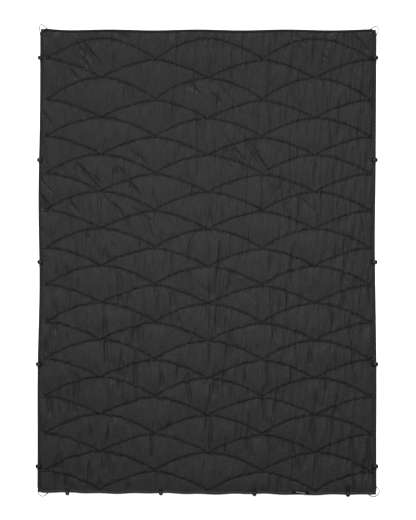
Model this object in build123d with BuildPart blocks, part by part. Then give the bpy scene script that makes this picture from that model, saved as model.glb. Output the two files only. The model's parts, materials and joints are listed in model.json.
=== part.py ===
from build123d import *
import os
from math import asin, pi, radians, sin, sqrt, tan

# Quilted camp blanket, lying flat with its face up.
# The origin is the middle of the underside: +X to the right-hand edge, +Y to the head,
# +Z up out of the face. All sizes are in millimetres.

# ---- driving dimensions ---------------------------------------------------------------
WIDTH = 1330.0            # across, over the edge binding
LENGTH = 1830.0           # head to foot, over the edge binding
CORNER_RADIUS = 24.0      # rounded corners of the blanket

CLOTH = 0.5               # thickness of one layer of shell cloth
BACK_CLOTH = 0.6          # the back shell, with the stitch grooves pressed into it
HEM_INSIDE = 3.1          # room between the two shells inside the hem
LOFT = 12.5               # top of the batting over the middle of the blanket
BATTING_INSET = 12.0      # the batting stops this far inside the edge
HEM_WIDTH = 26.0          # flat rim before the face starts to rise
CROWN_INSET = 60.0        # the face reaches its full height this far inside the edge

BINDING_WIDTH = 10.0      # each leg of the folded edge binding
BINDING_WALL = 0.5
THREAD_WIDTH = 1.2        # a sewn line, drawn as a flat ribbon of thread
THREAD_LIFT = 0.2         # how far a sewn line stands on the cloth
THREAD_GROOVE = 0.25      # how deep a sewn line is sunk into the underside
BINDING_SEAM_INSET = 7.5  # the binding's sewn line, in from the edge

QUILT_ROWS = 24           # scalloped rows of quilting, head to foot
QUILT_PERIOD = 422.5      # width of one scallop
QUILT_SHIFT = 4.0         # the pattern sits a little to the right of the middle
FIRST_ROW_Y = 799.0       # height of the first row's points
FIRST_ARC_RISE = 79.0     # rise of the first row's arcs above its points
ROW_PITCH = 73.4          # from one row's points to the next row's
SECOND_ROW_DROP = 11.0    # extra gap below the second row
ROW_GAP = 3.0             # between a row's points and the arcs just below them

TAB_WIDTH = 16.0          # ribbon of the snap tabs
TAB_THICK = 1.2           # two layers of ribbon
TAB_OVERHANG = 7.0        # past the edge
TAB_LONG_REACH = 22.0     # right-hand and foot tabs start this far inside the edge
TAB_SHORT_REACH = 15.0    # left-hand tabs
TAB_END_RADIUS = 6.0
SNAP_INSET = 4.0          # snap centre, inside the edge
SIDE_TAB_PITCH = 403.0    # five tabs down each side
FOOT_TAB_PITCH = 369.0    # four tabs along the foot
TAB_CLEARANCE = 0.1

CAP_DIAMETER = 12.4       # the snap's back, under the ribbon
CAP_THICK = 1.5
SNAP_DIAMETER = 10.6      # stud and socket bases
SNAP_BASE = 1.0
POST_DIAMETER = 3.4       # prong of the cap, through the ribbon
POST_FIT = 0.1            # radial clearance around the prong
RIVET_DIAMETER = 5.0      # the prong's flattened head
RIVET_THICK = 0.4
STUD_DIAMETER = 6.2
STUD_BEAD = 0.2           # bead round the stud's top, per side
STUD_BORE = 5.2
SOCKET_BORE = 6.8
SNAP_HEIGHT = 3.0         # stud and socket, above the ribbon

LOOP_DIAMETER = 3.0       # elastic cord of the corner loops
ARC_SHARE = 0.45          # share of the shorter run that an arc of a cord takes

LABEL_SIZE = (70.0, 13.0, 0.8)
LABEL_CENTRE = (367.0, -909.0)
LABEL_TILT = -6.0

# ---- heights through the hem, from the floor up ---------------------------------------
BACK_HEM_TOP = BACK_CLOTH + CLOTH
FACE_HEM = BACK_HEM_TOP + HEM_INSIDE
FACE_HEM_TOP = FACE_HEM + CLOTH
BINDING_TOP = FACE_HEM_TOP + BINDING_WALL
SEAM_TOP = BINDING_TOP + THREAD_LIFT
TAB_UNDERSIDE = SEAM_TOP + TAB_CLEARANCE
CORD_HEM_Z = (BACK_HEM_TOP + FACE_HEM) / 2
UP = Vector(0, 0, 1)

os.makedirs("parts", exist_ok=True)


def save(builder, node):
    """Label one finished piece and write it as its own file."""
    builder.part.label = node
    export_step(builder.part, f"parts/{node}.step")


def rim(inset):
    """The blanket's outline, drawn this far inside its edge."""
    RectangleRounded(WIDTH - 2 * inset, LENGTH - 2 * inset, CORNER_RADIUS - inset)


def rim_band(outer, inner):
    """A band that follows the edge between two insets."""
    rim(outer)
    RectangleRounded(WIDTH - 2 * inner, LENGTH - 2 * inner, CORNER_RADIUS - inner,
                     mode=Mode.SUBTRACT)


def crown(bottom):
    """The block with sloping sides that the batting makes, standing on this height."""
    with BuildPart() as block:
        with BuildSketch(Plane.XY.offset(bottom)):
            Rectangle(WIDTH - 2 * HEM_WIDTH, LENGTH - 2 * HEM_WIDTH)
        with BuildSketch(Plane.XY.offset(bottom + LOFT - FACE_HEM)):
            Rectangle(WIDTH - 2 * CROWN_INSET, LENGTH - 2 * CROWN_INSET)
        loft(ruled=True)
    return block.part


# ---- quilting pattern -----------------------------------------------------------------
def row_height(row):
    """Where a row's points lie, from the middle of the blanket."""
    drop = SECOND_ROW_DROP if row >= 2 else 0.0
    return FIRST_ROW_Y - ROW_PITCH * row - drop


def arc_rise(row):
    """Every row's arcs rise to just below the points of the row above."""
    if row == 0:
        return FIRST_ARC_RISE
    return row_height(row - 1) - row_height(row) - ROW_GAP


def quilt_row(row):
    """One scalloped row: whole arcs, with half arcs at both ends of every second row."""
    half = QUILT_PERIOD / 2
    y, rise = row_height(row), arc_rise(row)
    radius = (half ** 2 + rise ** 2) / (2 * rise)
    left = QUILT_SHIFT - 3 * half
    halfway = radius * sin(asin(half / radius) / 2)
    shoulder = y + rise - radius + sqrt(radius ** 2 - halfway ** 2)
    first = left if row % 2 == 0 else left + half
    for i in range(3 if row % 2 == 0 else 2):
        x = first + i * QUILT_PERIOD
        ThreePointArc((x, y), (x + half, y + rise), (x + 2 * half, y))
    if row % 2:
        right = left + 3 * QUILT_PERIOD
        ThreePointArc((left, y + rise), (left + halfway, shoulder), (left + half, y))
        ThreePointArc((right - half, y), (right - halfway, shoulder), (right, y + rise))


def quilt_ribbons(bottom, height):
    """All the rows as upright ribbons, from this height up."""
    with BuildPart() as ribbons:
        for row in range(QUILT_ROWS):
            with BuildSketch(Plane.XY.offset(bottom)):
                with BuildLine():
                    quilt_row(row)
                trace(line_width=THREAD_WIDTH)
            extrude(amount=height)
    return ribbons.part


# ---- shells, batting and binding ------------------------------------------------------
batting_crown = crown(FACE_HEM)
shell_crown = crown(FACE_HEM_TOP)
thread_crown = crown(FACE_HEM_TOP + THREAD_LIFT)
tall_ribbons = quilt_ribbons(FACE_HEM_TOP, LOFT)
groove_ribbons = quilt_ribbons(0, THREAD_GROOVE)

with BuildPart() as quilting_thread_back:
    add(groove_ribbons)
save(quilting_thread_back, "quilting_thread_back")

with BuildPart() as back_shell:
    with BuildSketch():
        rim(BINDING_WIDTH)
    extrude(amount=BACK_CLOTH)
    with BuildSketch(Plane.XY.offset(BACK_CLOTH)):
        rim_band(BINDING_WALL, BINDING_WIDTH + CLOTH)
    extrude(amount=CLOTH)
    add(groove_ribbons, mode=Mode.SUBTRACT)
save(back_shell, "back_shell")

with BuildPart() as batting:
    with BuildSketch(Plane.XY.offset(BACK_CLOTH)):
        rim(BATTING_INSET)
    extrude(amount=FACE_HEM - BACK_CLOTH)
    add(batting_crown)
save(batting, "batting")

with BuildPart() as face_shell:
    with BuildSketch(Plane.XY.offset(FACE_HEM)):
        rim(BINDING_WALL)
    extrude(amount=CLOTH)
    add(shell_crown)
    add(batting_crown, mode=Mode.SUBTRACT)
save(face_shell, "face_shell")

with BuildPart() as quilting_thread_face:
    with BuildSketch(Plane.XY.offset(FACE_HEM_TOP)):
        rim(BINDING_WALL)
    extrude(amount=THREAD_LIFT)
    add(thread_crown)
    add(shell_crown, mode=Mode.SUBTRACT)
    add(tall_ribbons, mode=Mode.INTERSECT)
save(quilting_thread_face, "quilting_thread_face")

with BuildPart() as binding_thread_back:
    with BuildSketch():
        rim_band(BINDING_SEAM_INSET, BINDING_SEAM_INSET + THREAD_WIDTH)
    extrude(amount=THREAD_GROOVE)
save(binding_thread_back, "binding_thread_back")

with BuildPart() as edge_binding:
    with BuildSketch():
        rim_band(0, BINDING_WALL)
    extrude(amount=BINDING_TOP)
    with BuildSketch():
        rim_band(0, BINDING_WIDTH)
    extrude(amount=BACK_CLOTH)
    with BuildSketch(Plane.XY.offset(FACE_HEM_TOP)):
        rim_band(0, BINDING_WIDTH)
    extrude(amount=BINDING_WALL)
    add(binding_thread_back.part, mode=Mode.SUBTRACT)
save(edge_binding, "edge_binding")

with BuildPart() as binding_thread_face:
    with BuildSketch(Plane.XY.offset(BINDING_TOP)):
        rim_band(BINDING_SEAM_INSET, BINDING_SEAM_INSET + THREAD_WIDTH)
    extrude(amount=THREAD_LIFT)
save(binding_thread_face, "binding_thread_face")

# ---- woven label, folded over the foot binding ----------------------------------------
with BuildPart() as woven_label:
    with BuildSketch(Plane.XY.offset(TAB_UNDERSIDE)):
        with Locations(LABEL_CENTRE):
            Rectangle(LABEL_SIZE[0], LABEL_SIZE[1], rotation=LABEL_TILT)
    extrude(amount=LABEL_SIZE[2])
    fillet(woven_label.edges().filter_by(Axis.Z), radius=1.0)
save(woven_label, "woven_label")


# ---- snap tabs ------------------------------------------------------------------------
def side_plane(edge_point, outward):
    """Upright plane through the middle of a tab: its X runs outward, its Y up."""
    return Plane(origin=edge_point, x_dir=outward, z_dir=outward.cross(UP))


def make_tab(edge_point, outward, reach):
    """Folded ribbon, sewn down at its inner end, which steps up over the snap's cap."""
    low, high = TAB_UNDERSIDE, TAB_UNDERSIDE + CAP_THICK
    sewn = reach * 0.3 - 2.0
    ramp_end = reach - SNAP_INSET - CAP_DIAMETER / 2 - 0.3
    bevel = 2.0
    profile = [(-reach, low), (-reach + sewn, low), (-reach + ramp_end, high),
               (TAB_OVERHANG, high), (TAB_OVERHANG, high + TAB_THICK),
               (-reach + ramp_end, high + TAB_THICK), (-reach + bevel + 0.4, low + TAB_THICK),
               (-reach, low)]
    with BuildPart() as tab:
        with BuildSketch(side_plane(edge_point, outward)):
            with BuildLine():
                Polyline(*profile)
            make_face()
        extrude(amount=TAB_WIDTH / 2, both=True)
        outer_end = tab.edges().filter_by(Axis.Z).group_by(
            Axis(edge_point, outward))[-1]
        fillet(outer_end, radius=TAB_END_RADIUS)
        snap_plane = Plane(origin=edge_point - outward * SNAP_INSET + UP * (high + TAB_THICK),
                           x_dir=outward, z_dir=UP)
        with Locations(snap_plane):
            Hole(radius=POST_DIAMETER / 2 + POST_FIT)
    return tab


def turned_piece(edge_point, outward, profile):
    """A round snap piece: the profile's X is a radius, its Y the height over the ribbon."""
    ribbon_top = TAB_UNDERSIDE + CAP_THICK + TAB_THICK
    centre = edge_point - outward * SNAP_INSET + UP * ribbon_top
    with BuildPart() as piece:
        with BuildSketch(side_plane(centre, outward)):
            with BuildLine():
                Polyline(*profile, close=True)
            make_face()
        revolve(axis=Axis(centre, UP))
    return piece


CAP_RADIUS = CAP_DIAMETER / 2
CAP_TOP = -TAB_THICK
CAP_BOTTOM = CAP_TOP - CAP_THICK
CAP_PROFILE = [
    (0, CAP_BOTTOM), (CAP_RADIUS - 1.6, CAP_BOTTOM), (CAP_RADIUS - 0.5, CAP_BOTTOM + 0.5),
    (CAP_RADIUS, CAP_BOTTOM + 1.1), (CAP_RADIUS, CAP_TOP), (POST_DIAMETER / 2, CAP_TOP),
    (POST_DIAMETER / 2, SNAP_BASE), (RIVET_DIAMETER / 2, SNAP_BASE),
    (RIVET_DIAMETER / 2, SNAP_BASE + RIVET_THICK), (0, SNAP_BASE + RIVET_THICK)]
SOCKET_PROFILE = [
    (POST_DIAMETER / 2 + POST_FIT, 0), (SNAP_DIAMETER / 2, 0),
    (SNAP_DIAMETER / 2, SNAP_HEIGHT - 0.8), (SNAP_DIAMETER / 2 - 0.8, SNAP_HEIGHT),
    (SOCKET_BORE / 2 + 0.4, SNAP_HEIGHT), (SOCKET_BORE / 2, SNAP_HEIGHT - 0.4),
    (SOCKET_BORE / 2, SNAP_BASE), (POST_DIAMETER / 2 + POST_FIT, SNAP_BASE)]
STUD_PROFILE = [
    (POST_DIAMETER / 2 + POST_FIT, 0), (SNAP_DIAMETER / 2, 0),
    (SNAP_DIAMETER / 2, SNAP_BASE - 0.4), (SNAP_DIAMETER / 2 - 0.5, SNAP_BASE),
    (STUD_DIAMETER / 2, SNAP_BASE), (STUD_DIAMETER / 2, SNAP_HEIGHT - 1.0),
    (STUD_DIAMETER / 2 + STUD_BEAD, SNAP_HEIGHT - 0.6), (STUD_DIAMETER / 2, SNAP_HEIGHT),
    (STUD_BORE / 2 + 0.1, SNAP_HEIGHT), (STUD_BORE / 2, SNAP_HEIGHT - 0.2),
    (STUD_BORE / 2, SNAP_BASE), (POST_DIAMETER / 2 + POST_FIT, SNAP_BASE)]


def tab_places():
    """Name, edge point, outward direction, reach and snap half of every tab."""
    for i in range(5):
        y = (2 - i) * SIDE_TAB_PITCH
        yield f"left_{i + 1}", Vector(-WIDTH / 2, y, 0), Vector(-1, 0, 0), TAB_SHORT_REACH, "socket"
        yield f"right_{i + 1}", Vector(WIDTH / 2, y, 0), Vector(1, 0, 0), TAB_LONG_REACH, "stud"
    for i in range(4):
        x = (i - 1.5) * FOOT_TAB_PITCH
        half = "socket" if x < 0 else "stud"
        yield f"foot_{i + 1}", Vector(x, -LENGTH / 2, 0), Vector(0, -1, 0), TAB_LONG_REACH, half


for place, edge_point, outward, reach, half in tab_places():
    save(make_tab(edge_point, outward, reach), f"snap_tab_{place}")
    save(turned_piece(edge_point, outward, CAP_PROFILE), f"snap_cap_{place}")
    half_profile = SOCKET_PROFILE if half == "socket" else STUD_PROFILE
    save(turned_piece(edge_point, outward, half_profile), f"snap_{half}_{place}")


# ---- corner loops ---------------------------------------------------------------------
FLOOR_Z = LOOP_DIAMETER / 2
ROUTES = {
    "corner_loop_head_left": [
        (-658.5, 880, CORD_HEM_Z), (-660, 895, 2.3), (-663, 912, FLOOR_Z),
        (-664.5, 930, FLOOR_Z), (-659.5, 938.5, FLOOR_Z), (-649.5, 937, FLOOR_Z),
        (-636, 925, 1.9), (-622, 909.5, CORD_HEM_Z)],
    "corner_loop_head_right": [
        (622, 909, CORD_HEM_Z), (638, 917, 2.2), (654, 927, FLOOR_Z),
        (667, 934, FLOOR_Z), (675, 927.5, FLOOR_Z), (672.5, 911, FLOOR_Z),
        (666.5, 895, 2.2), (659.5, 882, CORD_HEM_Z)],
    "corner_loop_foot_left": [
        (-659, -876, CORD_HEM_Z), (-666, -888, 2.1), (-671, -900, FLOOR_Z),
        (-670, -912.5, FLOOR_Z), (-662, -922, FLOOR_Z), (-650, -925, FLOOR_Z),
        (-638.5, -919, 2.1), (-627, -909.5, CORD_HEM_Z)],
    "corner_loop_foot_right": [
        (657, -878, CORD_HEM_Z), (667.5, -887, 2.1), (677, -896.5, FLOOR_Z),
        (679.5, -908.5, FLOOR_Z), (672, -919, FLOOR_Z), (660, -927, FLOOR_Z),
        (647, -926, FLOOR_Z), (634.5, -918, 2.1), (623, -909, CORD_HEM_Z)],
}


def arc_radii(route):
    """One tangent arc for every inner point, as large as its two runs allow."""
    points = [Vector(*p) for p in route]
    radii = []
    for before, corner, after in zip(points, points[1:], points[2:]):
        arriving, leaving = corner - before, after - corner
        half_turn = radians(arriving.get_angle(leaving)) / 2
        radii.append(ARC_SHARE * min(arriving.length, leaving.length) / tan(half_turn))
    return radii


for node, route in ROUTES.items():
    radii = arc_radii(route)
    with BuildPart() as corner_loop:
        with BuildLine() as path:
            FilletPolyline(*route, radius=radii)
        with BuildSketch(Plane(origin=path.line @ 0, z_dir=path.line % 0)):
            Circle(LOOP_DIAMETER / 2)
        sweep()
    save(corner_loop, node)
    length = path.wire().length
    print(node, "length", round(length, 1), "volume", round(corner_loop.part.volume, 1),
          "section x length", round(LOOP_DIAMETER ** 2 * pi / 4 * length, 1),
          "radii", [round(r, 1) for r in radii])
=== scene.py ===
# %% [markdown]
# # A quilted camp blanket
# The blanket is two thin shells of nylon with a layer of loose batting between them. Rows of
# scalloped stitching hold the three layers together, a folded tape binds the edge, short ribbon
# tabs carry press studs, and a loop of elastic cord is sewn into each corner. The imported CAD
# model gives the frame: what each piece is called, where it lies and which body moves it.

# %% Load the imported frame
import json
import math
import bpy
import bmesh
import numpy as np
from mathutils import Matrix, Vector


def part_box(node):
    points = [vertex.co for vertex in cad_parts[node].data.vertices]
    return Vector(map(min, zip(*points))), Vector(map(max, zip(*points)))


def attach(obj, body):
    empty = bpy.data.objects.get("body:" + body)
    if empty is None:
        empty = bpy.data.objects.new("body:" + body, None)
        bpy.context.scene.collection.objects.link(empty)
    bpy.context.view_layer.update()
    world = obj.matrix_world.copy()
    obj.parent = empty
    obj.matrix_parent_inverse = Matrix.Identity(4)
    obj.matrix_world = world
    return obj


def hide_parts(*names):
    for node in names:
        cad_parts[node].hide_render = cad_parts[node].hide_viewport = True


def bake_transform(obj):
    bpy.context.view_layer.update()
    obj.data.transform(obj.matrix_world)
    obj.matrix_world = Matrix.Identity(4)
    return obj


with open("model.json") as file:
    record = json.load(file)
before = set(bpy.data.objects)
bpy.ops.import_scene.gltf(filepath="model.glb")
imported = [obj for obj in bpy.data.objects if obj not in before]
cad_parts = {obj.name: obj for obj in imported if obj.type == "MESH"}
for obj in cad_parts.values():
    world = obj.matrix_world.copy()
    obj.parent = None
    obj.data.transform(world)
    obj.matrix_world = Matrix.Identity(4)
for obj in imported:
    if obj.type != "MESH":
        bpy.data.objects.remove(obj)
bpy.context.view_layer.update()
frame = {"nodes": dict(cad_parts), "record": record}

UP = Vector((0, 0, 1))
HALF_WIDTH, HALF_LENGTH = Vector(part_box("edge_binding")[1])[:2]
CORNER_RADIUS = 0.024


def add_object(name, data):
    """A new object in the scene."""
    made = bpy.data.objects.new(name, data)
    bpy.context.scene.collection.objects.link(made)
    return made


def mesh_from(name, form):
    """A mesh made from a bmesh, which isn't needed any more."""
    mesh = bpy.data.meshes.new(name)
    form.to_mesh(mesh)
    form.free()
    return mesh


print("blanket", round(2 * HALF_WIDTH, 3), "by", round(2 * HALF_LENGTH, 3), "m")

# %% [markdown]
# ## Camera, light and floor
# The blanket lies flat on a lit white table and is looked at from straight above. A long lens
# far away keeps the rows parallel. One wide, soft, low light from the head gives every quilted
# cell a lit and a shaded side, a white sky fills in the rest, and a large lamp over the middle
# makes it a little brighter than the two ends.

# %% Camera straight above
CAMERA_HEIGHT = 6.0
VIEW_HEIGHT = 2.054          # metres of floor from the top to the bottom of the frame
VIEW_CENTRE = (0.0016, 0.0079)
SENSOR = 36.0

camera_data = bpy.data.cameras.new("overhead_camera")
camera_data.sensor_width = SENSOR
camera_data.lens = SENSOR * CAMERA_HEIGHT / VIEW_HEIGHT
camera_data.clip_end = 60.0
camera = add_object("overhead_camera", camera_data)
camera.location = (*VIEW_CENTRE, CAMERA_HEIGHT)
bpy.context.scene.camera = camera
print("lens", round(camera_data.lens, 1), "mm")

# %% Sky, lamp and soft sun
SKY_STRENGTH = 0.34
SUN_STRENGTH = 4.7
LAMP_POWER = 17.5
LAMP_SIZE = 1.1
LAMP_AT = (0.0, 0.14, 1.75)
SUN_WIDTH = math.radians(28)         # a wide sun is a large soft box, far away
SUN_FROM = Vector((-0.22, 1.0, 0.66))

sky = bpy.data.worlds.new("studio_sky")
sky.use_nodes = True
sky.node_tree.nodes["Background"].inputs["Color"].default_value = (1, 1, 1, 1)
sky.node_tree.nodes["Background"].inputs["Strength"].default_value = SKY_STRENGTH
bpy.context.scene.world = sky
bpy.context.scene.view_settings.view_transform = "Standard"

lamp_data = bpy.data.lights.new("overhead_lamp", "AREA")
lamp_data.size = LAMP_SIZE
lamp_data.energy = LAMP_POWER
lamp = add_object("overhead_lamp", lamp_data)
lamp.location = LAMP_AT

sun_data = bpy.data.lights.new("soft_sun", "SUN")
sun_data.energy = SUN_STRENGTH
sun_data.angle = SUN_WIDTH
sun = add_object("soft_sun", sun_data)
sun.rotation_euler = (-SUN_FROM).to_track_quat("-Z", "Y").to_euler()

# %% [markdown]
# ## Corner loops
# Each corner has a loop of 3 mm elastic cord whose two ends are sewn into the hem. It is a free
# cord, so it comes first: one smooth NURBS line through the points of its route, with the order
# set after the points are there, because a new spline is only as curved as its points allow.

# %% Routes of the four loops
CORD_DIAMETER = 0.003
CORD_HEM_Z = 0.00265
CORD_FLOOR_Z = CORD_DIAMETER / 2
ROUTES = {
    "corner_loop_head_left": [
        (-0.6585, 0.880, CORD_HEM_Z), (-0.660, 0.895, 0.0023), (-0.663, 0.912, CORD_FLOOR_Z),
        (-0.6645, 0.930, CORD_FLOOR_Z), (-0.6595, 0.9385, CORD_FLOOR_Z),
        (-0.6495, 0.937, CORD_FLOOR_Z), (-0.636, 0.925, 0.0019), (-0.622, 0.9095, CORD_HEM_Z)],
    "corner_loop_head_right": [
        (0.622, 0.909, CORD_HEM_Z), (0.638, 0.917, 0.0022), (0.654, 0.927, CORD_FLOOR_Z),
        (0.667, 0.934, CORD_FLOOR_Z), (0.675, 0.9275, CORD_FLOOR_Z),
        (0.6725, 0.911, CORD_FLOOR_Z), (0.6665, 0.895, 0.0022), (0.6595, 0.882, CORD_HEM_Z)],
    "corner_loop_foot_left": [
        (-0.659, -0.876, CORD_HEM_Z), (-0.666, -0.888, 0.0021), (-0.671, -0.900, CORD_FLOOR_Z),
        (-0.670, -0.9125, CORD_FLOOR_Z), (-0.662, -0.922, CORD_FLOOR_Z),
        (-0.650, -0.925, CORD_FLOOR_Z), (-0.6385, -0.919, 0.0021),
        (-0.627, -0.9095, CORD_HEM_Z)],
    "corner_loop_foot_right": [
        (0.657, -0.878, CORD_HEM_Z), (0.6675, -0.887, 0.0021), (0.677, -0.8965, CORD_FLOOR_Z),
        (0.6795, -0.9085, CORD_FLOOR_Z), (0.672, -0.919, CORD_FLOOR_Z),
        (0.660, -0.927, CORD_FLOOR_Z), (0.647, -0.926, CORD_FLOOR_Z),
        (0.6345, -0.918, 0.0021), (0.623, -0.909, CORD_HEM_Z)],
}


def run_lengths(points):
    """Length of each run between neighbouring points."""
    return np.linalg.norm(np.diff(np.array(points), axis=0), axis=1)


def cord_line(name, route, half_diameter=0.0):
    """An open NURBS curve that starts and ends at the route's end points."""
    data = bpy.data.curves.new(name, "CURVE")
    data.dimensions = "3D"
    data.resolution_u = 16
    data.bevel_depth = half_diameter
    data.bevel_resolution = 3
    data.use_fill_caps = True
    spline = data.splines.new("NURBS")
    spline.points.add(len(route) - 1)
    for point, place in zip(spline.points, route):
        point.co = (*place, 1.0)
    spline.use_endpoint_u = True
    spline.order_u = 3
    return add_object(name, data)


def line_length(route):
    """Length of the smooth line itself, from a bevelled-off copy of the curve."""
    probe = cord_line("probe", route)
    mesh = bpy.data.meshes.new_from_object(probe)
    places = [tuple(v.co) for v in mesh.vertices]
    bpy.data.objects.remove(probe)
    bpy.data.meshes.remove(mesh)
    return float(run_lengths(places).sum())


corner_loops = []
for node, route in ROUTES.items():
    loop = cord_line(f"{node}_cord", route, CORD_DIAMETER / 2)
    length = line_length(route)
    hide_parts(node)
    corner_loops.append(loop)
    print(node, "cord", round(1000 * length, 1), "mm")

# %% [markdown]
# ## Shader helpers
# A finish is a small network of nodes. Writing the maths as Python expressions keeps it short:
# a wrapped socket adds its Math nodes when it is used in a sum or a product, and one method
# makes any other node from its type, its settings and its inputs.


# %% A socket that can be used in expressions
class Sock:
    """Wraps an output socket, so that expressions on it build Math nodes."""

    def __init__(self, finish, socket):
        self.finish, self.socket = finish, socket

    def __add__(self, other):
        return self.finish.math("ADD", self, other)

    def __radd__(self, other):
        return self.finish.math("ADD", other, self)

    def __sub__(self, other):
        return self.finish.math("SUBTRACT", self, other)

    def __rsub__(self, other):
        return self.finish.math("SUBTRACT", other, self)

    def __mul__(self, other):
        return self.finish.math("MULTIPLY", self, other)

    def __rmul__(self, other):
        return self.finish.math("MULTIPLY", other, self)


class Finish:
    """One material, with a Principled shader and methods that add what feeds it."""

    def __init__(self, name, colour, roughness, **constants):
        self.material = bpy.data.materials.new(name)
        self.material.use_nodes = True
        self.tree = self.material.node_tree
        self.shader = self.tree.nodes["Principled BSDF"]
        self.shader.inputs["Base Color"].default_value = (*colour, 1)
        self.shader.inputs["Roughness"].default_value = roughness
        for socket, value in constants.items():
            self.shader.inputs[socket.replace("_", " ")].default_value = value
        self.colour = colour
        self.place = Sock(self, self.tree.nodes.new("ShaderNodeTexCoord").outputs["Object"])

    def feed(self, socket, value):
        if isinstance(value, Sock):
            self.tree.links.new(value.socket, socket)
        else:
            socket.default_value = value

    def node(self, kind, settings=None, inputs=None, output=0):
        """Any node: its type, its settings, then values or links for its sockets."""
        made = self.tree.nodes.new(kind)
        for name, value in (settings or {}).items():
            setattr(made, name, value)
        for key, value in (inputs or {}).items():
            self.feed(made.inputs[key], value)
        return Sock(self, made.outputs[output])

    def math(self, operation, *values):
        """A Math node on sockets or numbers."""
        return self.node("ShaderNodeMath", {"operation": operation},
                         {i: v for i, v in enumerate(values)})

    def noise(self, scale, stretch=(1, 1, 1), detail=2.0, turn=0.0):
        """Soft noise whose grain is turned about the vertical and stretched along the axes."""
        turned = self.node("ShaderNodeMapping", {},
                           {"Vector": self.place, "Rotation": (0, 0, turn)})
        mapped = self.node("ShaderNodeMapping", {}, {"Vector": turned, "Scale": stretch})
        return self.node("ShaderNodeTexNoise", {"noise_dimensions": "3D"},
                         {"Vector": mapped, "Scale": scale, "Detail": detail})

    def along_blanket(self):
        """Distance from the middle of the blanket towards its head."""
        return self.node("ShaderNodeSeparateXYZ", {}, {"Vector": self.place}, output=1)

    def ramp(self, value, low, high):
        """Nought below one value, one above another, and smooth in between."""
        return self.node("ShaderNodeMapRange", {"interpolation_type": "SMOOTHSTEP"},
                         {"Value": value, "From Min": low, "From Max": high})

    def marked(self, name):
        """A number that the mesh carries at each point."""
        return self.node("ShaderNodeAttribute", {"attribute_name": name}, output=2)

    def waves(self, scale, direction):
        """Even ridges across one axis, for the yarns of a weave."""
        return self.node("ShaderNodeTexWave",
                         {"wave_type": "BANDS", "bands_direction": direction,
                          "wave_profile": "SIN"},
                         {"Vector": self.place, "Scale": scale})

    def shade(self, amount):
        """The base colour, lightened and darkened by a number around one."""
        tint = self.node("ShaderNodeMix", {"data_type": "RGBA", "blend_type": "MULTIPLY"},
                         {0: 1.0, 6: (*self.colour, 1),
                          7: self.node("ShaderNodeCombineColor", {},
                                       {0: amount, 1: amount, 2: amount})}, output=2)
        self.feed(self.shader.inputs["Base Color"], tint)

    def bump(self, height, distance, strength=1.0):
        """Raise the surface by a height between nought and one times a distance."""
        raised = self.node("ShaderNodeBump", {},
                           {"Height": height, "Distance": distance, "Strength": strength})
        self.feed(self.shader.inputs["Normal"], raised)


# %% [markdown]
# ## Finishes
# Nearly everything on the blanket is nylon or polyester in the same charcoal, so the finishes
# differ in weave, sheen and roughness more than in colour. A weave is two crossed sets of fine
# ridges, and broad soft noise keeps a large dark surface from looking printed. The shells have
# creases as well: upright ones near the foot, and patches of leaning ones near the head. Their
# colour carries painted shade in the creases and along the sewn grooves.


# %% Woven cloths
CHARCOAL = (0.0150, 0.0150, 0.0153)
WEAVE_TONE = 0.12            # unevenness of a woven cloth's colour
# Painted shade along the sewn grooves: the colour there is made this much darker.
PAINTED_SEAM_SHADE = 0.9
# Painted shade in the creases: the colour there is made this much darker.
PAINTED_CREASE_SHADE = 0.24
CREASE_LEAN = -0.7           # turn of the leaning creases, in radians


def woven_finish(name, colour, roughness, pitch, weave_height, sheen, specular=0.12, dark=None):
    """Plain-woven cloth with yarns of this pitch, with painted shade where the mesh is marked so."""
    cloth = Finish(name, colour, roughness, Specular_IOR_Level=specular, Sheen_Weight=sheen,
                   Sheen_Roughness=0.45)
    yarns = 2 * math.pi / pitch / 20
    weave = cloth.waves(yarns, "X") * cloth.waves(yarns, "Y")
    mottle = cloth.noise(9.0, detail=3.0)
    slub = cloth.noise(90.0, (1, 0.15, 1), detail=1.0)
    tint = 1.0 - WEAVE_TONE + mottle * WEAVE_TONE + slub * WEAVE_TONE
    # Painted shade: the colour is made 40 percent darker where the mesh is marked.
    cloth.shade(tint * (1.0 - cloth.marked(dark) * 0.4) if dark else tint)
    cloth.feed(cloth.shader.inputs["Roughness"], roughness - 0.06 + mottle * 0.12)
    cloth.bump(weave, weave_height)
    return cloth.material


def shell_finish(name, colour):
    """Light nylon, with painted shade in its grooves and creases, and puckered beside the seams."""
    cloth = Finish(name, colour, 0.5, Specular_IOR_Level=0.12, Sheen_Weight=0.04,
                   Sheen_Roughness=0.4)
    painted_seam_shade, pucker = cloth.marked("painted_seam_shade"), cloth.marked("pucker")
    mottle = cloth.noise(7.0, detail=3.0)
    # Fine upright streaks in the colour, at the scale of the gathers: painted light and shade of small
    # creases.
    fine = cloth.noise(120.0, (1.0, 0.25, 1.0), detail=2.0)
    upright = cloth.ramp(cloth.noise(34.0, (1.0, 0.16, 1.0), detail=1.0), 0.56, 0.72)
    leaning = cloth.ramp(cloth.noise(30.0, (1.0, 0.20, 1.0), detail=1.0, turn=CREASE_LEAN), 0.56, 0.72)
    patches = cloth.ramp(cloth.noise(2.6, detail=1.0), 0.46, 0.58)
    towards_head = cloth.ramp(cloth.along_blanket(), -0.5, 0.5)
    crease = ((upright * (1.0 - towards_head * 0.6) + leaning * towards_head * patches)
              * (1.0 - pucker * 0.7))
    # Painted shade: the colour is darkened along the sewn grooves and in the creases.
    cloth.shade((0.80 + mottle * 0.16 + fine * 0.28) * (1.0 - painted_seam_shade * PAINTED_SEAM_SHADE)
                * (1.0 - crease * PAINTED_CREASE_SHADE))
    cloth.feed(cloth.shader.inputs["Roughness"], 0.44 + mottle * 0.12)
    gathers = cloth.noise(115.0, (1.0, 0.18, 1.0), detail=2.0)
    ripples = cloth.noise(42.0, (1.0, 0.3, 1.0), detail=1.0)
    crinkle = cloth.noise(190.0, detail=2.0)
    relief = gathers * (0.35 + pucker * 0.6) + ripples * 0.9 + crinkle * 0.35 - crease * 0.9
    cloth.bump(relief, 0.0070, 0.9)
    return cloth.material


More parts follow.
